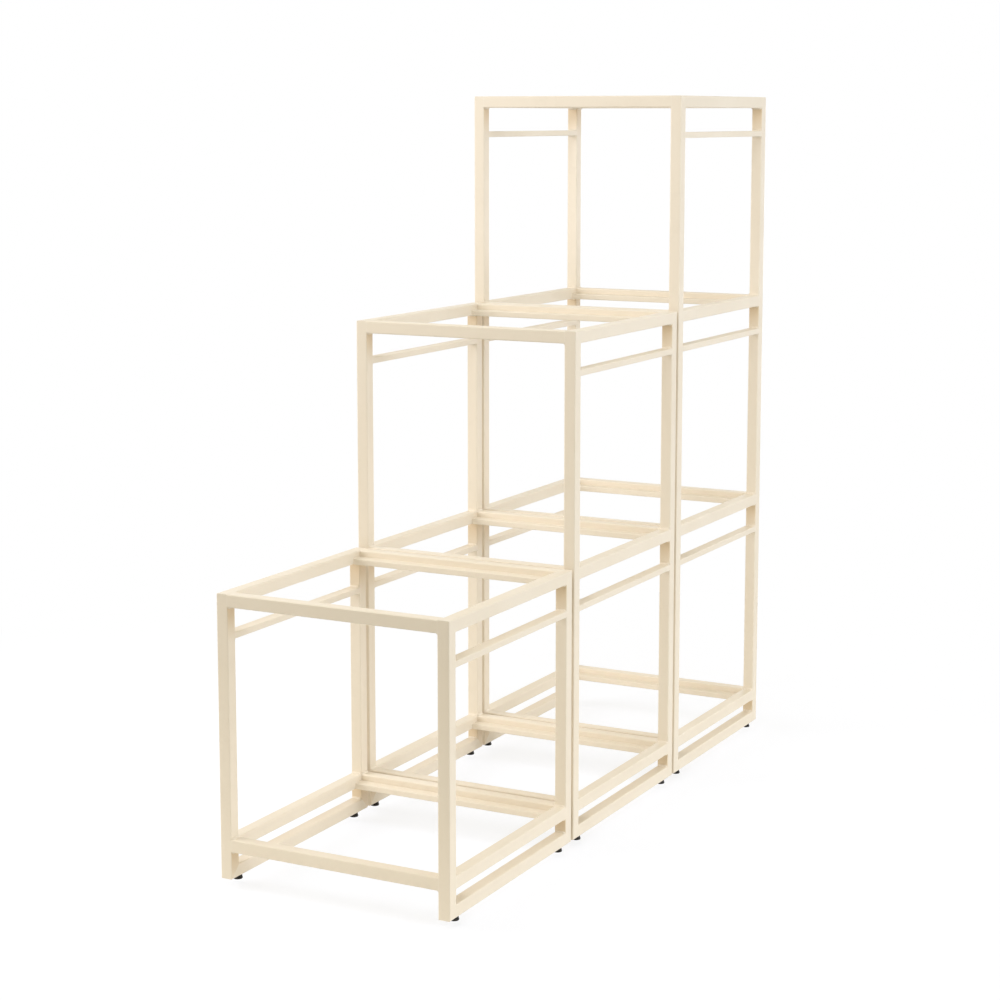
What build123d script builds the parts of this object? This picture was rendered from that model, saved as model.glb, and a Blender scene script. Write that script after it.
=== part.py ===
from build123d import *
import os

# Tiered display riser: three free-standing frames of welded square tube, set one behind the
# other as stairs. Millimetres, +Z up. The low frame faces -Y, and the origin is on the floor
# under the middle of the set.

# Square tube of the posts, rails and runners
TUBE = 20.0
TUBE_WALL = 1.5
TUBE_CORNER = 2.0

# Flat tube of the shelf ledges and the side bars
LEDGE_DEPTH = 20.0
LEDGE_HEIGHT = 10.0
BAR_WIDTH = 20.0
BAR_HEIGHT = 10.0
FLAT_WALL = 1.2
FLAT_CORNER = 1.5

# Outside of each frame, and the space between one frame and the next
FRAME_WIDTH = 400.0
FRAME_DEPTH = 400.0
FRAME_GAP = 8.0

# Tier heights, from the floor to the top of the ring
TIER1_HEIGHT = 452.0
TIER2_HEIGHT = 829.0
TIER3_HEIGHT = 1196.0

# Clear height from a runner to the base ring, and from a ring down to its side bar
RUNNER_CLEAR = 23.0
BAR_CLEAR = 42.0

# A rail's shaped end stays this far off the post; the weld fills it
WELD_GAP = 0.05

# Levelling foot: pad with a hexagon for a spanner, on a screw stud
FOOT_HEIGHT = 8.0
FOOT_SETBACK = 10.0
PAD_RADIUS = 7.5
PAD_RIM = 3.5
PAD_EDGE = 1.5
HEX_FLATS = 12.0
HEX_SIDES = 6
STUD_RADIUS = 3.0
STUD_TIP = 0.8
STUD_TIP_CLEAR = 1.0

# Threaded insert: flange under the runner, collar crimped behind its wall
INSERT_FLANGE = 1.5
INSERT_FLANGE_RADIUS = 6.5
INSERT_SHANK_RADIUS = 4.5
INSERT_COLLAR = 2.0
INSERT_COLLAR_RADIUS = 6.0
INSERT_DEPTH = 10.0
INSERT_HOLE_CLEAR = 0.05
THREAD_CLEAR = 0.05

# Sizes that follow from the ones above
BASE_HEIGHT = FOOT_HEIGHT + TUBE + RUNNER_CLEAR + TUBE
FRAME_PITCH = FRAME_DEPTH + FRAME_GAP
POST_X = (FRAME_WIDTH - TUBE) / 2
POST_Y = (FRAME_DEPTH - TUBE) / 2
FOOT_Y = FRAME_DEPTH / 2 - TUBE - FOOT_SETBACK
LEDGE_Y = FRAME_DEPTH / 2 - TUBE - LEDGE_DEPTH / 2
PAD_HEIGHT = FOOT_HEIGHT - INSERT_FLANGE
STUD_LENGTH = INSERT_FLANGE + TUBE - TUBE_WALL - STUD_TIP_CLEAR

HEIGHTS = {"base": BASE_HEIGHT, "tier1": TIER1_HEIGHT, "tier2": TIER2_HEIGHT, "tier3": TIER3_HEIGHT}
FRAMES = {
    "low": ("base", "tier1"),
    "middle": ("base", "tier1", "tier2"),
    "tall": ("base", "tier1", "tier2", "tier3"),
}
SIDES = {"left": -1, "right": 1}
ENDS = {"front": -1, "rear": 1}


def tube_section(width, height, wall, corner):
    """Section of a rectangular tube, rounded outside and square inside."""
    return RectangleRounded(width, height, corner) - Rectangle(width - 2 * wall, height - 2 * wall)


def square_tube(length):
    """Square tube along X, centred on the origin."""
    section = tube_section(TUBE, TUBE, TUBE_WALL, TUBE_CORNER)
    return extrude(Plane.YZ * section, length / 2, both=True)


def flat_tube(length, width, height):
    """Flat tube along X, centred on the origin."""
    section = tube_section(width, height, FLAT_WALL, FLAT_CORNER)
    return extrude(Plane.YZ * section, length / 2, both=True)


def mitred_tube(length):
    """Square tube along +Z, mitred at both ends, with its long face at -Y."""
    tube = extrude(tube_section(TUBE, TUBE, TUBE_WALL, TUBE_CORNER), length)
    lower_cut = Plane(origin=(0, -TUBE / 2, 0), x_dir=(1, 0, 0), z_dir=(0, -1, 1))
    upper_cut = Plane(origin=(0, -TUBE / 2, length), x_dir=(1, 0, 0), z_dir=(0, -1, -1))
    tube = split(tube, bisect_by=lower_cut, keep=Keep.TOP)
    return split(tube, bisect_by=upper_cut, keep=Keep.TOP)


def post_section(plain_half):
    """Section of a post with its weld gap; the half toward plain_half has square corners."""
    side = TUBE + 2 * WELD_GAP
    section = RectangleRounded(side, side, TUBE_CORNER + WELD_GAP)
    if plain_half:
        section += Pos(0, plain_half * side / 4) * Rectangle(side, side / 2)
    return section


def shaped_to(saddle, tube, pitch):
    """Shapes both ends of a tube along X to the members that it is welded between."""
    for way in ENDS.values():
        tube -= Pos(way * pitch / 2, 0, 0) * saddle
    return tube


def cross_rail(is_top):
    """Front rail along X between two side loops; its end follows their rounded outer edges."""
    saddle = extrude(post_section(1), TUBE, both=True)
    if is_top:
        saddle &= extrude(Plane.XZ * post_section(-1), TUBE, both=True)
    return shaped_to(saddle, square_tube(2 * POST_X), 2 * POST_X)


def between_posts(tube):
    """Side piece along Y, shaped at both ends to a front and a rear post."""
    saddle = extrude(post_section(0), TUBE, both=True)
    return Plane(origin=(0, 0, 0), x_dir=(0, 1, 0)) * shaped_to(saddle, tube, 2 * POST_Y)


def side_rail():
    """Rail of a lower ring, along Y."""
    return between_posts(square_tube(2 * POST_Y))


def side_bar():
    """Flat bar under a ring, along Y."""
    return between_posts(flat_tube(2 * POST_Y, BAR_WIDTH, BAR_HEIGHT))


def shelf_ledge():
    """Flat ledge along X between the side rails of a ring, for the edge of a board."""
    return flat_tube(FRAME_WIDTH - 2 * TUBE, LEDGE_DEPTH, LEDGE_HEIGHT)


def top_side_rail():
    """Top member of a side loop, along Y with its short side down."""
    place = Plane(origin=(0, -FRAME_DEPTH / 2, 0), x_dir=(1, 0, 0), z_dir=(0, 1, 0))
    return place * mitred_tube(FRAME_DEPTH)


def runner():
    """Floor member of a side loop, along Y with its short side up, drilled for the inserts."""
    place = Plane(origin=(0, -FRAME_DEPTH / 2, FOOT_HEIGHT + TUBE / 2), x_dir=(-1, 0, 0), z_dir=(0, 1, 0))
    tube = place * mitred_tube(FRAME_DEPTH)
    hole = Cylinder(INSERT_SHANK_RADIUS + INSERT_HOLE_CLEAR, 2 * TUBE_WALL)
    for end in ENDS.values():
        tube -= Pos(0, end * FOOT_Y, FOOT_HEIGHT) * hole
    return tube


def post(height, end):
    """Front or rear post of a side loop, with its short side toward the middle of the loop."""
    tube = mitred_tube(height - FOOT_HEIGHT)
    place = Plane(origin=(0, end * POST_Y, FOOT_HEIGHT), x_dir=(-end, 0, 0))
    return place * tube


def threaded_insert():
    """Insert with its flange on the underside of a runner; Z is 0 on that underside."""
    bore = STUD_RADIUS + THREAD_CLEAR
    collar_top = TUBE_WALL + INSERT_COLLAR
    outline = Polyline(
        (bore, -INSERT_FLANGE),
        (INSERT_FLANGE_RADIUS, -INSERT_FLANGE),
        (INSERT_FLANGE_RADIUS, 0),
        (INSERT_SHANK_RADIUS, 0),
        (INSERT_SHANK_RADIUS, TUBE_WALL),
        (INSERT_COLLAR_RADIUS, TUBE_WALL),
        (INSERT_SHANK_RADIUS, collar_top),
        (INSERT_SHANK_RADIUS, INSERT_DEPTH),
        (bore, INSERT_DEPTH),
        close=True,
    )
    return revolve(Plane.XZ * make_face(outline), Axis.Z)


def levelling_foot():
    """Moulded pad with a hexagon for a spanner and a screw stud, standing on the floor."""
    outline = Polyline(
        (0, 0),
        (PAD_RADIUS - PAD_EDGE, 0),
        (PAD_RADIUS, PAD_EDGE),
        (PAD_RADIUS, PAD_RIM),
        (0, PAD_RIM),
        close=True,
    )
    pad = revolve(Plane.XZ * make_face(outline), Axis.Z)
    hexagon = extrude(RegularPolygon(HEX_FLATS / 2, HEX_SIDES, major_radius=False), PAD_HEIGHT)
    stud = Cylinder(STUD_RADIUS, STUD_LENGTH, align=(Align.CENTER, Align.CENTER, Align.MIN))
    stud = chamfer(stud.edges().group_by(Axis.Z)[-1], STUD_TIP)
    return pad + hexagon + Pos(0, 0, PAD_HEIGHT) * stud


def on_sides(shape, y, z):
    """A left and a right copy of a side piece."""
    return [Pos(side * POST_X, y, z) * shape for side in SIDES.values()]


def on_ends(shape, offset, middle_y, z):
    """A front and a rear copy of a piece along X; the rear one is turned about."""
    return [
        Plane(origin=(0, middle_y + way * offset, z), x_dir=(-way, 0, 0)) * shape
        for way in ENDS.values()
    ]


def save(name, pieces):
    """Writes one node; several pieces stay separate solids."""
    solids = [solid for piece in pieces for solid in piece.solids()]
    export_step(Compound(solids), f"parts/{name}.step")


def save_posts_and_runners(frame, height, middle_y):
    """The upright and floor members of both side loops."""
    floor_tube = runner()
    for side, sign in SIDES.items():
        save(f"{frame}_{side}_runner", [Pos(sign * POST_X, middle_y, 0) * floor_tube])
        for end, way in ENDS.items():
            upright = Pos(sign * POST_X, middle_y, 0) * post(height, way)
            save(f"{frame}_{end}_{side}_post", [upright])


def save_rings(frame, tiers, middle_y):
    """Side rails, cross rails and side bars of every ring, and the ledges of the frame."""
    ledges = []
    for tier in tiers:
        top = HEIGHTS[tier]
        is_top = tier == tiers[-1]
        side_piece = top_side_rail() if is_top else side_rail()
        save(f"{frame}_{tier}_side_rails", on_sides(side_piece, middle_y, top - TUBE / 2))
        save(f"{frame}_{tier}_cross_rails", on_ends(cross_rail(is_top), POST_Y, middle_y, top - TUBE / 2))
        ledges += on_ends(shelf_ledge(), LEDGE_Y, middle_y, top - TUBE + LEDGE_HEIGHT / 2)
        if tier != "base":
            bar_z = top - TUBE - BAR_CLEAR - BAR_HEIGHT / 2
            save(f"{frame}_{tier}_side_bars", on_sides(side_bar(), middle_y, bar_z))
    save(f"{frame}_shelf_ledges", ledges)


def save_feet(frame, middle_y):
    """Levelling feet, one node each, and the inserts that they screw into."""
    foot = levelling_foot()
    insert = threaded_insert()
    inserts = []
    for side, sign in SIDES.items():
        for end, way in ENDS.items():
            spot = Pos(sign * POST_X, middle_y + way * FOOT_Y, 0)
            save(f"{frame}_{end}_{side}_foot", [spot * foot])
            inserts.append(spot * Pos(0, 0, FOOT_HEIGHT) * insert)
    save(f"{frame}_foot_inserts", inserts)


os.makedirs("parts", exist_ok=True)
for order, (frame, tiers) in enumerate(FRAMES.items()):
    middle_y = (order - (len(FRAMES) - 1) / 2) * FRAME_PITCH
    save_posts_and_runners(frame, HEIGHTS[tiers[-1]], middle_y)
    save_rings(frame, tiers, middle_y)
    save_feet(frame, middle_y)
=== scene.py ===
"""Tiered display riser: three cream powder-coated frames on black levelling feet, in a white studio."""
import math

import bmesh
import bpy
from mathutils import Matrix, Vector


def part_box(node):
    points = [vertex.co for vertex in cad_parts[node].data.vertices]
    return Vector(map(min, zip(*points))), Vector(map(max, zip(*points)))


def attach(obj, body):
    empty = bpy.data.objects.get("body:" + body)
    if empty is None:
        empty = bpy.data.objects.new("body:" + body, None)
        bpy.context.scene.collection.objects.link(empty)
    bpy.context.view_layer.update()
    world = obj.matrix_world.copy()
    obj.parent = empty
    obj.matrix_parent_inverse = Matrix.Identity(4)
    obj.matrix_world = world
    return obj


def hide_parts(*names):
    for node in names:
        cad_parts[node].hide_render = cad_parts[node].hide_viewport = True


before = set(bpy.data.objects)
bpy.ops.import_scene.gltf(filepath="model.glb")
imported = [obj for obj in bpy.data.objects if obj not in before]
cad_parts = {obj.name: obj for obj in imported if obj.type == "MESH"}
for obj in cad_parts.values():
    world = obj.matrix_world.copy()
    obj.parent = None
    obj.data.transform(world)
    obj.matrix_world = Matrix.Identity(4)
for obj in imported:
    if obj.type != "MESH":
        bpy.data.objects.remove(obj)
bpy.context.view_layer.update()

# Frame tubes: posts, runners, rails, ledges and side bars of square and flat steel tube, mitred or shaped
# at the ends, welded, and sprayed with cream powder that melts to a satin skin with a fine orange peel. It
# thins out and turns pale along the edges. On the posts' inner faces just under the rails a darker tint is
# painted shade, standing in for the shade that falls there.
COAT_CREAM = (0.864, 0.790, 0.682, 1.0)
COAT_THICK = (0.852, 0.776, 0.664, 1.0)
COAT_EDGE = (0.886, 0.824, 0.726, 1.0)
COAT_RUBBED = (0.826, 0.752, 0.643, 1.0)
# Painted shade: the darker tint put on the posts' inner faces just under the rails.
COAT_PAINTED_SHADE = (0.755, 0.600, 0.400, 1.0)
COAT_ROUGHNESS = (0.40, 0.50)
COAT_RUB_ROUGHNESS = 0.33
COAT_DRIFT_SIZE = 0.11
PEEL_SIZE = 0.0016
PEEL_HEIGHT = 0.00006
PEEL_STRENGTH = 0.5
RUB_SIZE = 0.045
RUB_COVER = 0.16
RUB_SHARE = 0.5
EDGE_REACH = 0.0022
EDGE_SHARE = 0.6
# Reach below the rails, inward facing and strength of the painted shade.
PAINTED_SHADE_REACH = 0.060
PAINTED_SHADE_INWARD = (-0.9, -0.5)
PAINTED_SHADE_SHARE = 0.8
TIERS = ("base", "tier1", "tier2", "tier3")


def add_node(tree, kind, **settings):
    """A new node in a tree, with its plain settings."""
    node = tree.nodes.new(kind)
    for name, value in settings.items():
        setattr(node, name, value)
    return node


def new_group(name, inputs, outputs):
    """An empty shader group with these sockets, and its own input and output nodes."""
    group = bpy.data.node_groups.new(name, "ShaderNodeTree")
    for label, kind in inputs:
        group.interface.new_socket(label, in_out="INPUT", socket_type=kind)
    for label in outputs:
        group.interface.new_socket(label, in_out="OUTPUT", socket_type="NodeSocketFloat")
    return group, group.nodes.new("NodeGroupInput"), group.nodes.new("NodeGroupOutput")


def maths(tree, operation, first, second):
    """One sum on two values, each a socket or a number."""
    node = add_node(tree, "ShaderNodeMath", operation=operation)
    for socket, value in zip(node.inputs, (first, second)):
        if isinstance(value, float):
            socket.default_value = value
        else:
            tree.links.new(value, socket)
    return node.outputs["Value"]


def spread(tree, value, low, high, to_low=0.0, to_high=1.0):
    """A value stretched from one range to another, held at its ends."""
    node = add_node(tree, "ShaderNodeMapRange", interpolation_type="SMOOTHSTEP")
    tree.links.new(value, node.inputs["Value"])
    ends = (("From Min", low), ("From Max", high), ("To Min", to_low), ("To Max", to_high))
    for label, number in ends:
        node.inputs[label].default_value = number
    return node.outputs["Result"]


def noise(tree, vector, size, detail):
    """Cloudy noise whose blobs are about size metres across; size is a socket."""
    node = add_node(tree, "ShaderNodeTexNoise")
    tree.links.new(vector, node.inputs["Vector"])
    tree.links.new(maths(tree, "DIVIDE", 1.0, size), node.inputs["Scale"])
    node.inputs["Detail"].default_value = detail
    return node.outputs["Fac"]


GRAIN_DETAIL = 2.0
DRIFT_DETAIL = 3.0
DRIFT_SPAN = (0.3, 0.7)


def surface_grain_group():
    """Fine bumps of a finish, and its slow drift of tone."""
    sockets = [
        ("Vector", "NodeSocketVector"),
        ("Grain Size", "NodeSocketFloat"),
        ("Drift Size", "NodeSocketFloat"),
    ]
    group, given, result = new_group("surface_grain", sockets, ["Grain", "Drift"])
    place = given.outputs["Vector"]
    grain = noise(group, place, given.outputs["Grain Size"], GRAIN_DETAIL)
    drift = noise(group, place, given.outputs["Drift Size"], DRIFT_DETAIL)
    group.links.new(grain, result.inputs["Grain"])
    group.links.new(spread(group, drift, *DRIFT_SPAN), result.inputs["Drift"])
    return group


PATCH_DETAIL = 4.0
PATCH_PART = 0.7
STREAK_SIZE = 0.12
STREAK_DETAIL = 3.0
STREAK_PART = 0.3
RUBBED_SPAN = (0.68, 0.84)


def rubbed_patches_group():
    """Patches where hands, boards and neighbours have rubbed a surface: 0 clean, 1 rubbed."""
    sockets = [
        ("Vector", "NodeSocketVector"),
        ("Patch Size", "NodeSocketFloat"),
        ("Cover", "NodeSocketFloat"),
    ]
    group, given, result = new_group("rubbed_patches", sockets, ["Rubbed"])
    place = given.outputs["Vector"]
    patch_size = given.outputs["Patch Size"]
    patches = noise(group, place, patch_size, PATCH_DETAIL)
    streaks = noise(group, place, maths(group, "MULTIPLY", patch_size, STREAK_SIZE), STREAK_DETAIL)
    patch_part = maths(group, "MULTIPLY", patches, PATCH_PART)
    streak_part = maths(group, "MULTIPLY", streaks, STREAK_PART)
    raised = maths(group, "ADD", maths(group, "ADD", patch_part, streak_part), given.outputs["Cover"])
    group.links.new(spread(group, raised, *RUBBED_SPAN), result.inputs["Rubbed"])
    return group


EDGE_RAYS = 4
EDGE_TURN = (0.01, 0.16)


def near_edge_group():
    """How near a point is to an outside corner of its piece: 0 on a flat, 1 on the corner."""
    group, given, result = new_group("near_edge", [("Reach", "NodeSocketFloat")], ["Edge"])
    softened = add_node(group, "ShaderNodeBevel", samples=EDGE_RAYS)
    facing = group.nodes.new("ShaderNodeNewGeometry")
    lean = add_node(group, "ShaderNodeVectorMath", operation="DOT_PRODUCT")
    group.links.new(given.outputs["Reach"], softened.inputs["Radius"])
    group.links.new(softened.outputs["Normal"], lean.inputs[0])
    group.links.new(facing.outputs["Normal"], lean.inputs[1])
    turned = maths(group, "SUBTRACT", 1.0, lean.outputs["Value"])
    group.links.new(spread(group, turned, *EDGE_TURN), result.inputs["Edge"])
    return group


def place_group(tree, group, **values):
    """A group in a material, fed with the object's own coordinates and its own values."""
    node = add_node(tree, "ShaderNodeGroup", node_tree=group)
    if "Vector" in node.inputs:
        tree.links.new(tree.nodes["Texture Coordinate"].outputs["Object"], node.inputs["Vector"])
    for label, number in values.items():
        node.inputs[label.replace("_", " ")].default_value = number
    return node


def mix_colour(tree, amount, first, second):
    """Blends two colours, each a socket or a plain colour, by a mask."""
    node = add_node(tree, "ShaderNodeMix", data_type="RGBA")
    tree.links.new(amount, node.inputs["Factor"])
    for label, value in (("A", first), ("B", second)):
        socket = next(s for s in node.inputs if s.name == label and s.type == "RGBA")
        if isinstance(value, tuple):
            socket.default_value = value
        else:
            tree.links.new(value, socket)
    return next(s for s in node.outputs if s.type == "RGBA")


def new_material(name):
    """A material with its Principled shader and object coordinates ready."""
    material = bpy.data.materials.new(name)
    material.use_nodes = True
    tree = material.node_tree
    tree.nodes.new("ShaderNodeTexCoord")
    return material, tree, tree.nodes["Principled BSDF"]


def bump(tree, shader, height, depth, strength):
    """Raises the surface by a height of 0 to 1, depth metres at most."""
    node = tree.nodes.new("ShaderNodeBump")
    node.inputs["Strength"].default_value = strength
    node.inputs["Distance"].default_value = depth
    tree.links.new(height, node.inputs["Height"])
    tree.links.new(node.outputs["Normal"], shader.inputs["Normal"])


def painted_shade_under_rails(tree):
    """Painted shade: 1 on a post's inner faces just under a rail, 0 a reach below it and on the outer
    faces.
    """
    coordinates = tree.nodes["Texture Coordinate"]
    place = tree.nodes.new("ShaderNodeSeparateXYZ")
    facing = tree.nodes.new("ShaderNodeSeparateXYZ")
    tree.links.new(coordinates.outputs["Object"], place.inputs["Vector"])
    tree.links.new(coordinates.outputs["Normal"], facing.inputs["Vector"])
    frame_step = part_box("tall_left_runner")[0].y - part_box("middle_left_runner")[0].y
    from_middle = add_node(tree, "ShaderNodeMath", operation="WRAP")
    tree.links.new(place.outputs["Y"], from_middle.inputs[0])
    from_middle.inputs[1].default_value = frame_step / 2
    from_middle.inputs[2].default_value = -frame_step / 2
    side = maths(tree, "SIGN", place.outputs["X"], 0.0)
    end = maths(tree, "SIGN", from_middle.outputs["Value"], 0.0)
    outward_across = maths(tree, "MULTIPLY", side, facing.outputs["X"])
    outward_along = maths(tree, "MULTIPLY", end, facing.outputs["Y"])
    outward = maths(tree, "MINIMUM", outward_across, outward_along)
    shade_mask = spread(tree, outward, *PAINTED_SHADE_INWARD, 1.0, 0.0)
    height = place.outputs["Z"]
    under_any = None
    for tier in TIERS:
        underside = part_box(f"tall_{tier}_side_rails")[0].z
        close = spread(tree, height, underside - PAINTED_SHADE_REACH, underside)
        under = maths(tree, "MULTIPLY", close, maths(tree, "LESS_THAN", height, underside))
        under_any = maths(tree, "MAXIMUM", under_any, under) if under_any else under
    return maths(tree, "MULTIPLY", under_any, shade_mask)


surface_grain = surface_grain_group()
rubbed_patches = rubbed_patches_group()
near_edge = near_edge_group()


def cream_coat(name, has_painted_shade):
    """The satin cream powder coat, with painted shade under the rails where a piece has inner corners."""
    material, tree, shader = new_material(name)
    skin = place_group(tree, surface_grain, Grain_Size=PEEL_SIZE, Drift_Size=COAT_DRIFT_SIZE)
    rubbed = place_group(tree, rubbed_patches, Patch_Size=RUB_SIZE, Cover=RUB_COVER).outputs["Rubbed"]
    edge = place_group(tree, near_edge, Reach=EDGE_REACH).outputs["Edge"]
    drift = skin.outputs["Drift"]
    colour = mix_colour(tree, drift, COAT_CREAM, COAT_THICK)
    colour = mix_colour(tree, maths(tree, "MULTIPLY", rubbed, RUB_SHARE), colour, COAT_RUBBED)
    colour = mix_colour(tree, maths(tree, "MULTIPLY", edge, EDGE_SHARE), colour, COAT_EDGE)
    if has_painted_shade:
        # Painted shade: darkens the posts' inner faces just under the rails, where shade falls.
        shade_mask = maths(tree, "MULTIPLY", painted_shade_under_rails(tree), PAINTED_SHADE_SHARE)
        colour = mix_colour(tree, shade_mask, colour, COAT_PAINTED_SHADE)
    tree.links.new(colour, shader.inputs["Base Color"])
    satin = spread(tree, drift, 0.0, 1.0, *COAT_ROUGHNESS)
    polished = maths(tree, "MULTIPLY", rubbed, COAT_RUB_ROUGHNESS - COAT_ROUGHNESS[0])
    tree.links.new(maths(tree, "ADD", satin, polished), shader.inputs["Roughness"])
    bump(tree, shader, skin.outputs["Grain"], PEEL_HEIGHT, PEEL_STRENGTH)
    return material


coat = cream_coat("cream_powder_coat", has_painted_shade=False)
# The posts' coat carries the painted shade under the rails.
post_coat_with_painted_shade = cream_coat("cream_post_coat", has_painted_shade=True)
TUBE_ENDINGS = ("_post", "_runner", "_rails", "_bars", "_ledges")
for name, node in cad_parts.items():
    if name.endswith(TUBE_ENDINGS):
        node.data.materials.clear()
        node.data.materials.append(post_coat_with_painted_shade if name.endswith("_post") else coat)

# Welds: short fillets run by hand in the inner corners where rails, bars and runners meet the posts, and
# stitches under the ledges. The outside of each joint is ground flush, so only these soft rippled beads of
# steel show, under the same coat.
FRAME_BODIES = {"low": "low_frame", "middle": "middle_frame", "tall": "tall_frame"}
RING_TIERS = {"low": TIERS[:2], "middle": TIERS[:3], "tall": TIERS}
BEAD_RADIUS = 0.0030
BEAD_SIDES = 8
BEAD_RIPPLES = 3
BEAD_VALLEY = 0.87
BEAD_TAIL = 0.50
BEAD_INSET = 0.0012
HALF_BEAD = 0.5
STITCH_RADIUS = 0.0015
STITCH_RISE = 0.0017
STITCH_LENGTH = 0.018
STITCH_PLACES = (-0.125, 0.0, 0.125)


def bead_mesh():
    """A rippled bead with thin ends, one metre in length and in radius, to be stretched to each seam."""
    shape = bmesh.new()
    bmesh.ops.create_cone(shape, cap_ends=True, segments=BEAD_SIDES, radius1=1.0, radius2=1.0, depth=1.0)
    long_edges = [edge for edge in shape.edges if abs(edge.verts[0].co.z - edge.verts[1].co.z) > HALF_BEAD]
    steps = 2 * BEAD_RIPPLES
    bmesh.ops.subdivide_edges(shape, edges=long_edges, cuts=steps - 1, use_grid_fill=True)
    for corner in shape.verts:
        ring = round((corner.co.z + HALF_BEAD) * steps)
        width = BEAD_TAIL if ring in (0, steps) else 1.0 if ring % 2 else BEAD_VALLEY
        corner.co.x *= width
        corner.co.y *= width
    mesh = bpy.data.meshes.new("weld_bead")
    shape.to_mesh(mesh)
    shape.free()
    return mesh


def seams(name):
    """Bead radius and both ends of every inner seam of one frame."""
    lines = []
    for side in ("left", "right"):
        for end in ("front", "rear"):
            low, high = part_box(f"{name}_{end}_{side}_post")
            inner_x = high.x if side == "left" else low.x
            inner_y = high.y if end == "front" else low.y
            along_x = (low.x + BEAD_INSET, high.x - BEAD_INSET)
            along_y = (low.y + BEAD_INSET, high.y - BEAD_INSET)
            across, beside = [], [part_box(f"{name}_{side}_runner")[1].z]
            for tier in RING_TIERS[name]:
                ring_low, ring_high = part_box(f"{name}_{tier}_side_rails")
                levels = [ring_low.z]
                if tier != RING_TIERS[name][-1]:
                    levels.append(ring_high.z)
                across += levels
                beside += levels
                if tier != "base":
                    beside += [corner.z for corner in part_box(f"{name}_{tier}_side_bars")]
                if side == "left":
                    for x in STITCH_PLACES:
                        ends = (x - STITCH_LENGTH / 2, x + STITCH_LENGTH / 2)
                        level = ring_low.z + STITCH_RISE
                        lines.append((STITCH_RADIUS, [Vector((x_end, inner_y, level)) for x_end in ends]))
            lines += [(BEAD_RADIUS, [Vector((inner_x, y, z)) for y in along_y]) for z in across]
            lines += [(BEAD_RADIUS, [Vector((x, inner_y, z)) for x in along_x]) for z in beside]
    return lines


bead = bead_mesh()
for name, body in FRAME_BODIES.items():
    shape = bmesh.new()
    for radius, (start, end) in seams(name):
        known = len(shape.verts)
        shape.from_mesh(bead)
        shape.verts.ensure_lookup_table()
        run = end - start
        stretch = Matrix.Diagonal((radius, radius, run.length, 1.0))
        turn = run.to_track_quat("Z", "Y").to_matrix().to_4x4()
        placed = Matrix.Translation((start + end) / 2) @ turn @ stretch
        bmesh.ops.transform(shape, matrix=placed, verts=shape.verts[known:])
    for face in shape.faces:
        face.smooth = True
    mesh = bpy.data.meshes.new(f"{body}_welds")
    shape.to_mesh(mesh)
    shape.free()
    mesh.materials.append(coat)
    welds = bpy.data.objects.new(f"{body}_welds", mesh)
    bpy.context.scene.collection.objects.link(welds)
    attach(welds, body)
bpy.data.meshes.remove(bead)

# Threaded inserts: turned steel sleeves with a flange, pressed up into the undersides of the runners to
# take the studs of the feet. They are zinc plated, a soft blue-grey shine, and go in after the coating.
ZINC_BRIGHT = (0.70, 0.71, 0.72, 1.0)
ZINC_DULL = (0.52, 0.53, 0.55, 1.0)
ZINC_ROUGHNESS = (0.28, 0.46)
ZINC_CLOUD_SIZE = 0.004
ZINC_GRAIN_SIZE = 0.0007
ZINC_GRAIN_HEIGHT = 0.00003
ZINC_GRAIN_STRENGTH = 0.5


def zinc_plate():
    """Zinc plating, bright with cloudy dull patches."""
    material, tree, shader = new_material("zinc_plate")
    skin = place_group(tree, surface_grain, Grain_Size=ZINC_GRAIN_SIZE, Drift_Size=ZINC_CLOUD_SIZE)
    clouds = skin.outputs["Drift"]
    tree.links.new(mix_colour(tree, clouds, ZINC_BRIGHT, ZINC_DULL), shader.inputs["Base Color"])
    tree.links.new(spread(tree, clouds, 0.0, 1.0, *ZINC_ROUGHNESS), shader.inputs["Roughness"])
    shader.inputs["Metallic"].default_value = 1.0
    bump(tree, shader, skin.outputs["Grain"], ZINC_GRAIN_HEIGHT, ZINC_GRAIN_STRENGTH)
    return material


zinc = zinc_plate()
for name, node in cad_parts.items():
    if name.endswith("_foot_inserts"):
        node.data.materials.clear()
        node.data.materials.append(zinc)

# Levelling feet: a black nylon pad with a hexagon above it for a spanner, moulded round a zinc-plated
# stud. The stud screws up into the insert of its runner and turns to level the frame.
NYLON_BLACK = (0.016, 0.014, 0.012, 1.0)
NYLON_WORN = (0.030, 0.028, 0.025, 1.0)
NYLON_ROUGHNESS = (0.48, 0.62)
NYLON_SHEEN = 0.25
NYLON_DRIFT_SIZE = 0.006
NYLON_RUB_SIZE = 0.006
NYLON_RUB_COVER = 0.2
NYLON_GRAIN_SIZE = 0.0006
NYLON_GRAIN_HEIGHT = 0.00004
NYLON_GRAIN_STRENGTH = 0.6


def black_nylon():
    """Moulded black nylon, matte, a little grey where it is rubbed."""
    material, tree, shader = new_material("black_nylon")
    skin = place_group(tree, surface_grain, Grain_Size=NYLON_GRAIN_SIZE, Drift_Size=NYLON_DRIFT_SIZE)
    wear = place_group(tree, rubbed_patches, Patch_Size=NYLON_RUB_SIZE, Cover=NYLON_RUB_COVER)
    colour = mix_colour(tree, wear.outputs["Rubbed"], NYLON_BLACK, NYLON_WORN)
    tree.links.new(colour, shader.inputs["Base Color"])
    matte = spread(tree, skin.outputs["Drift"], 0.0, 1.0, *NYLON_ROUGHNESS)
    tree.links.new(matte, shader.inputs["Roughness"])
    shader.inputs["Specular IOR Level"].default_value = NYLON_SHEEN
    bump(tree, shader, skin.outputs["Grain"], NYLON_GRAIN_HEIGHT, NYLON_GRAIN_STRENGTH)
    return material


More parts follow.
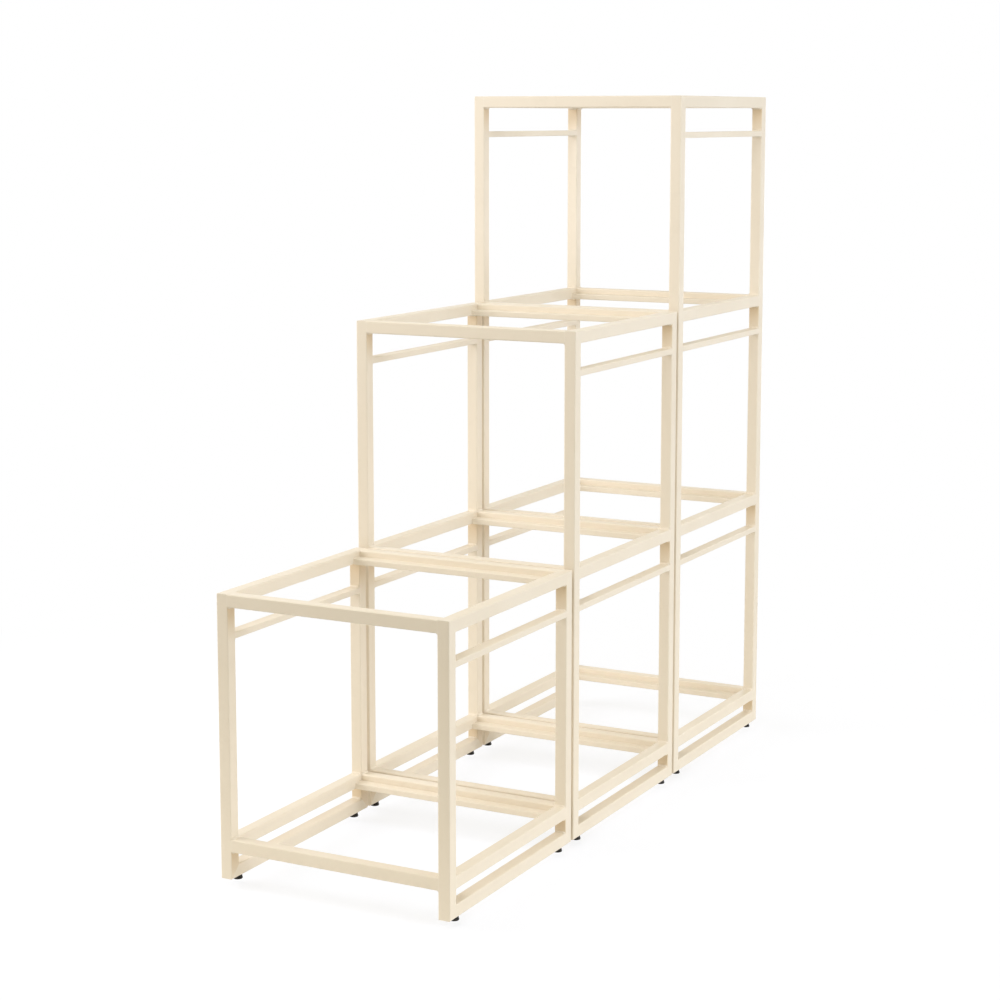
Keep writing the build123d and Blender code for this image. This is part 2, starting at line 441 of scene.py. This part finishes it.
nylon = black_nylon()
FLOOR_EDGE = 0.0007
FLOOR_EDGE_EASE = 0.3
SOLE_RADIUS = 0.0052
SOLE_RECESS = 0.0005
RIM_HEIGHT = 0.0035
RIM_SLOPE = 0.0012
RIM_SLOPE_IN = 0.3
RIM_SLOPE_DOWN = 0.45
PAD_HEIGHT = 0.0065
PAD_STEPS = 48
HEX_SIDES = 6
HEX_FLATS = 0.012
HEX_CORNER = 0.0004
HEX_SHOULDER = 0.0006
HEX_EASE_STEPS = 3
THREAD_PITCH = 0.001
THREAD_CREST = 0.00297
THREAD_ROOT = 0.00245
THREAD_TIP = 0.0008
THREAD_STEPS = 20
THREAD_SPARE_TURNS = 2
THREAD_FLANK = (
    (THREAD_ROOT, 0.0),
    (THREAD_ROOT, 0.25),
    (THREAD_CREST, 0.5625),
    (THREAD_CREST, 0.6875),
    (THREAD_ROOT, 1.0),
)
NYLON_SLOT = 0
ZINC_SLOT = 1
SAME_PLACE = 1e-6
CUT_PLACE = 1e-7


def chain(shape, points):
    """Vertices in the X-Z plane joined in a row, as (radius, height)."""
    corners = [shape.verts.new((radius, 0.0, height)) for radius, height in points]
    edges = [shape.edges.new(pair) for pair in zip(corners, corners[1:])]
    return corners + edges


def pad_shape(radius):
    """The round pad, hollow under its sole, with a sloped shoulder."""
    shape = bmesh.new()
    outline = [
        (0.0, SOLE_RECESS),
        (SOLE_RADIUS, SOLE_RECESS),
        (SOLE_RADIUS + SOLE_RECESS, 0.0),
        (radius - FLOOR_EDGE, 0.0),
        (radius - FLOOR_EDGE * FLOOR_EDGE_EASE, FLOOR_EDGE * FLOOR_EDGE_EASE),
        (radius, FLOOR_EDGE),
        (radius, RIM_HEIGHT - RIM_SLOPE),
        (radius - RIM_SLOPE * RIM_SLOPE_IN, RIM_HEIGHT - RIM_SLOPE * RIM_SLOPE_DOWN),
        (radius - RIM_SLOPE, RIM_HEIGHT),
        (0.0, RIM_HEIGHT),
    ]
    bmesh.ops.spin(
        shape, geom=chain(shape, outline), cent=(0, 0, 0), axis=(0, 0, 1),
        angle=math.tau, steps=PAD_STEPS, use_merge=True,
    )
    bmesh.ops.remove_doubles(shape, verts=shape.verts, dist=SAME_PLACE)
    bmesh.ops.recalc_face_normals(shape, faces=shape.faces)
    return shape


def hexagon_shape():
    """The hexagon for a spanner, its corners rounded and its top edge eased."""
    shape = bmesh.new()
    height = PAD_HEIGHT - RIM_HEIGHT
    corner_radius = HEX_FLATS / math.sqrt(3.0)
    bmesh.ops.create_cone(
        shape, cap_ends=True, segments=HEX_SIDES,
        radius1=corner_radius, radius2=corner_radius, depth=height,
    )
    bmesh.ops.translate(shape, verts=shape.verts, vec=(0.0, 0.0, RIM_HEIGHT + height / 2))
    uprights = [edge for edge in shape.edges if abs(edge.verts[0].co.z - edge.verts[1].co.z) > height / 2]
    bmesh.ops.bevel(
        shape, geom=uprights, offset=HEX_CORNER, affect="EDGES",
        segments=HEX_EASE_STEPS, profile=0.5, material=-1,
    )
    top_level = PAD_HEIGHT - SAME_PLACE
    top = [edge for edge in shape.edges if all(corner.co.z > top_level for corner in edge.verts)]
    bmesh.ops.bevel(
        shape, geom=top, offset=HEX_SHOULDER, affect="EDGES",
        segments=HEX_EASE_STEPS, profile=0.5, material=-1,
    )
    return shape


def stud_shape(top):
    """The threaded stud: one thread turned up round the axis, cut flat below and eased at its tip."""
    shape = bmesh.new()
    foot = PAD_HEIGHT - HEX_SHOULDER
    turns = math.ceil((top - foot) / THREAD_PITCH) + THREAD_SPARE_TURNS
    start = foot - THREAD_PITCH
    profile = chain(shape, [(radius, start + share * THREAD_PITCH) for radius, share in THREAD_FLANK])
    bmesh.ops.spin(
        shape, geom=profile, cent=(0, 0, 0), axis=(0, 0, 1), dvec=(0, 0, THREAD_PITCH / THREAD_STEPS),
        angle=math.tau * turns, steps=THREAD_STEPS * turns,
    )
    bmesh.ops.remove_doubles(shape, verts=shape.verts, dist=SAME_PLACE)
    for height, keep_above in ((foot, True), (top, False)):
        everything = shape.verts[:] + shape.edges[:] + shape.faces[:]
        bmesh.ops.bisect_plane(
            shape, geom=everything, dist=CUT_PLACE, plane_co=(0, 0, height), plane_no=(0, 0, 1),
            clear_inner=keep_above, clear_outer=not keep_above,
        )
        open_edges = [edge for edge in shape.edges if edge.is_boundary]
        rim = [edge for edge in open_edges if abs(edge.verts[0].co.z - height) < SAME_PLACE]
        bmesh.ops.edgeloop_fill(shape, edges=rim)
    for corner in shape.verts:
        room = THREAD_CREST - THREAD_TIP + (top - corner.co.z)
        reach = math.hypot(corner.co.x, corner.co.y)
        if reach > room:
            corner.co.x *= room / reach
            corner.co.y *= room / reach
    bmesh.ops.recalc_face_normals(shape, faces=shape.faces)
    return shape


foot_names = [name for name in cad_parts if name.endswith("_foot")]
for name in foot_names:
    low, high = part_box(name)
    middle = (low + high) / 2
    mesh = bpy.data.meshes.new(f"{name}_pad_and_stud")
    mesh.materials.append(nylon)
    mesh.materials.append(zinc)
    forms = (
        (pad_shape((high.x - low.x) / 2), NYLON_SLOT),
        (hexagon_shape(), NYLON_SLOT),
        (stud_shape(high.z), ZINC_SLOT),
    )
    foot_shape = bmesh.new()
    for shape, slot in forms:
        for face in shape.faces:
            face.material_index = slot
        shape.to_mesh(mesh)
        shape.free()
        foot_shape.from_mesh(mesh)
    bmesh.ops.translate(foot_shape, verts=foot_shape.verts, vec=(middle.x, middle.y, low.z))
    foot_shape.to_mesh(mesh)
    foot_shape.free()
    foot = bpy.data.objects.new(f"{name}_pad_and_stud", mesh)
    bpy.context.scene.collection.objects.link(foot)
    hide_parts(name)
    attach(foot, name)

# Studio floor: a white paper sheet under the frames on the pale floor of a studio. The camera sees both as
# white, with the soft shadow of the frames kept near them. It lies as far below the pads as the feet screw
# out, so that no foot sinks into it.
FLOOR_SIZE = 60.0
FOOT_TRAVEL = 0.008
SHEET_REACH = (0.9, 1.7)
SHEET_WHITE = (0.93, 0.93, 0.93, 1.0)
STUDIO_GREY = (0.35, 0.35, 0.35, 1.0)
SHADOW_DEPTH = (0.220, 0.232, 0.272, 1.0)
SHEET_GLOW = 0.80
PLAIN_WHITE = 1.0

floor_mesh = bpy.data.meshes.new("studio_floor")
floor_shape = bmesh.new()
bmesh.ops.create_grid(floor_shape, x_segments=1, y_segments=1, size=FLOOR_SIZE / 2)
bmesh.ops.translate(floor_shape, verts=floor_shape.verts, vec=(0.0, 0.0, -FOOT_TRAVEL))
floor_shape.to_mesh(floor_mesh)
floor_shape.free()
floor = bpy.data.objects.new("studio_floor", floor_mesh)
bpy.context.scene.collection.objects.link(floor)


def seen_directly(tree):
    """1 for what the camera, a mirror or a glass shows, 0 for light that falls on things."""
    path = tree.nodes.new("ShaderNodeLightPath")
    either = maths(tree, "MAXIMUM", path.outputs["Is Camera Ray"], path.outputs["Is Glossy Ray"])
    return maths(tree, "MAXIMUM", either, path.outputs["Is Transmission Ray"])


def blend(tree, amount, first, second):
    """Mixes two shaders by a mask."""
    node = tree.nodes.new("ShaderNodeMixShader")
    tree.links.new(amount, node.inputs["Fac"])
    tree.links.new(first, node.inputs[1])
    tree.links.new(second, node.inputs[2])
    return node.outputs["Shader"]


def glow(tree, strength):
    """White light of a strength."""
    node = tree.nodes.new("ShaderNodeEmission")
    node.inputs["Strength"].default_value = strength
    return node.outputs["Emission"]


floor_sheet, tree, shader = new_material("floor_sheet")
tree.nodes.remove(shader)
distance = add_node(tree, "ShaderNodeVectorMath", operation="LENGTH")
tree.links.new(tree.nodes["Texture Coordinate"].outputs["Object"], distance.inputs[0])
past_sheet = spread(tree, distance.outputs["Value"], *SHEET_REACH)
bounce = tree.nodes.new("ShaderNodeBsdfDiffuse")
tree.links.new(mix_colour(tree, past_sheet, SHEET_WHITE, STUDIO_GREY), bounce.inputs["Color"])
shadow = tree.nodes.new("ShaderNodeBsdfDiffuse")
shadow.inputs["Color"].default_value = SHADOW_DEPTH
shadowed = tree.nodes.new("ShaderNodeAddShader")
tree.links.new(shadow.outputs["BSDF"], shadowed.inputs[0])
tree.links.new(glow(tree, SHEET_GLOW), shadowed.inputs[1])
shown = blend(tree, past_sheet, shadowed.outputs["Shader"], glow(tree, PLAIN_WHITE))
surface = blend(tree, seen_directly(tree), bounce.outputs["BSDF"], shown)
tree.links.new(surface, tree.nodes["Material Output"].inputs["Surface"])
floor_mesh.materials.append(floor_sheet)

# Studio light: a softbox on each side, weak ones high over the front and low behind, and warm white walls
# that fill the shadows. Behind the object the camera sees plain white.
WALL_WARM = (1.0, 0.89, 0.575, 1.0)
WALL_FILL = 0.456
WALL_WHITE = (1.0, 1.0, 1.0, 1.0)
LAMP_DAYLIGHT = (0.880, 0.915, 1.0)
LAMP_WHITE = (1.0, 0.967, 0.972)
HIGH_PLACE = (0.6, -1.0, 3.2)
HIGH_AIM = (0.1, 0.3, 0.9)
HIGH_SIZE = 1.6
HIGH_POWER = 26.5
RIGHT_PLACE = (3.4, 0.1, 0.9)
RIGHT_AIM = (0.0, 0.1, 0.4)
RIGHT_SIZE = 2.4
RIGHT_POWER = 66.2
LEFT_PLACE = (-2.4, -1.4, 1.7)
LEFT_AIM = (0.0, 0.2, 0.7)
LEFT_SIZE = 2.0
LEFT_POWER = 62.3
REAR_PLACE = (0.0, 3.6, 0.9)
REAR_AIM = (0.0, 0.6, 0.6)
REAR_SIZE = 1.6
REAR_POWER = 27.0

world = bpy.data.worlds.new("white_walls")
bpy.context.scene.world = world
world.use_nodes = True
tree = world.node_tree
tree.nodes.clear()
fill = tree.nodes.new("ShaderNodeBackground")
fill.inputs["Color"].default_value = WALL_WARM
fill.inputs["Strength"].default_value = WALL_FILL
white = tree.nodes.new("ShaderNodeBackground")
white.inputs["Color"].default_value = WALL_WHITE
walls = blend(tree, seen_directly(tree), fill.outputs["Background"], white.outputs["Background"])
out = tree.nodes.new("ShaderNodeOutputWorld")
tree.links.new(walls, out.inputs["Surface"])


def softbox(name, place, aim, size, power, colour):
    """A square area light at a place, turned to its aim."""
    lamp = bpy.data.lights.new(name, "AREA")
    lamp.energy = power
    lamp.color = colour
    lamp.size = size
    box = bpy.data.objects.new(name, lamp)
    box.location = place
    box.rotation_euler = (Vector(aim) - Vector(place)).to_track_quat("-Z", "Y").to_euler()
    bpy.context.scene.collection.objects.link(box)


softbox("high_softbox", HIGH_PLACE, HIGH_AIM, HIGH_SIZE, HIGH_POWER, LAMP_DAYLIGHT)
softbox("right_softbox", RIGHT_PLACE, RIGHT_AIM, RIGHT_SIZE, RIGHT_POWER, LAMP_DAYLIGHT)
softbox("left_softbox", LEFT_PLACE, LEFT_AIM, LEFT_SIZE, LEFT_POWER, LAMP_WHITE)
softbox("rear_softbox", REAR_PLACE, REAR_AIM, REAR_SIZE, REAR_POWER, LAMP_WHITE)

# Camera: stands to the right of the front, nearly as high as the tall frame's top, and looks slightly
# down. The small shift keeps the uprights nearly parallel, as a shop photograph does.
IMAGE_SIDE = 1000
SENSOR_WIDTH = 36.0
FOCAL_PIXELS = 2192.0
CAMERA_PLACE = (1.6780, -3.2612, 1.161)
CAMERA_DIP = 7.89
CAMERA_TURN = 27.76
CAMERA_SHIFT = -0.08
CAMERA_REACH = 200.0

camera_lens = bpy.data.cameras.new("shop_camera")
camera_lens.sensor_width = SENSOR_WIDTH
camera_lens.lens = SENSOR_WIDTH * FOCAL_PIXELS / IMAGE_SIDE
camera_lens.shift_y = CAMERA_SHIFT
camera_lens.clip_end = CAMERA_REACH
camera = bpy.data.objects.new("shop_camera", camera_lens)
camera.location = CAMERA_PLACE
camera.rotation_euler = (math.radians(90.0 - CAMERA_DIP), 0.0, math.radians(CAMERA_TURN))
bpy.context.scene.collection.objects.link(camera)
bpy.context.scene.camera = camera
bpy.context.scene.view_settings.view_transform = "Standard"
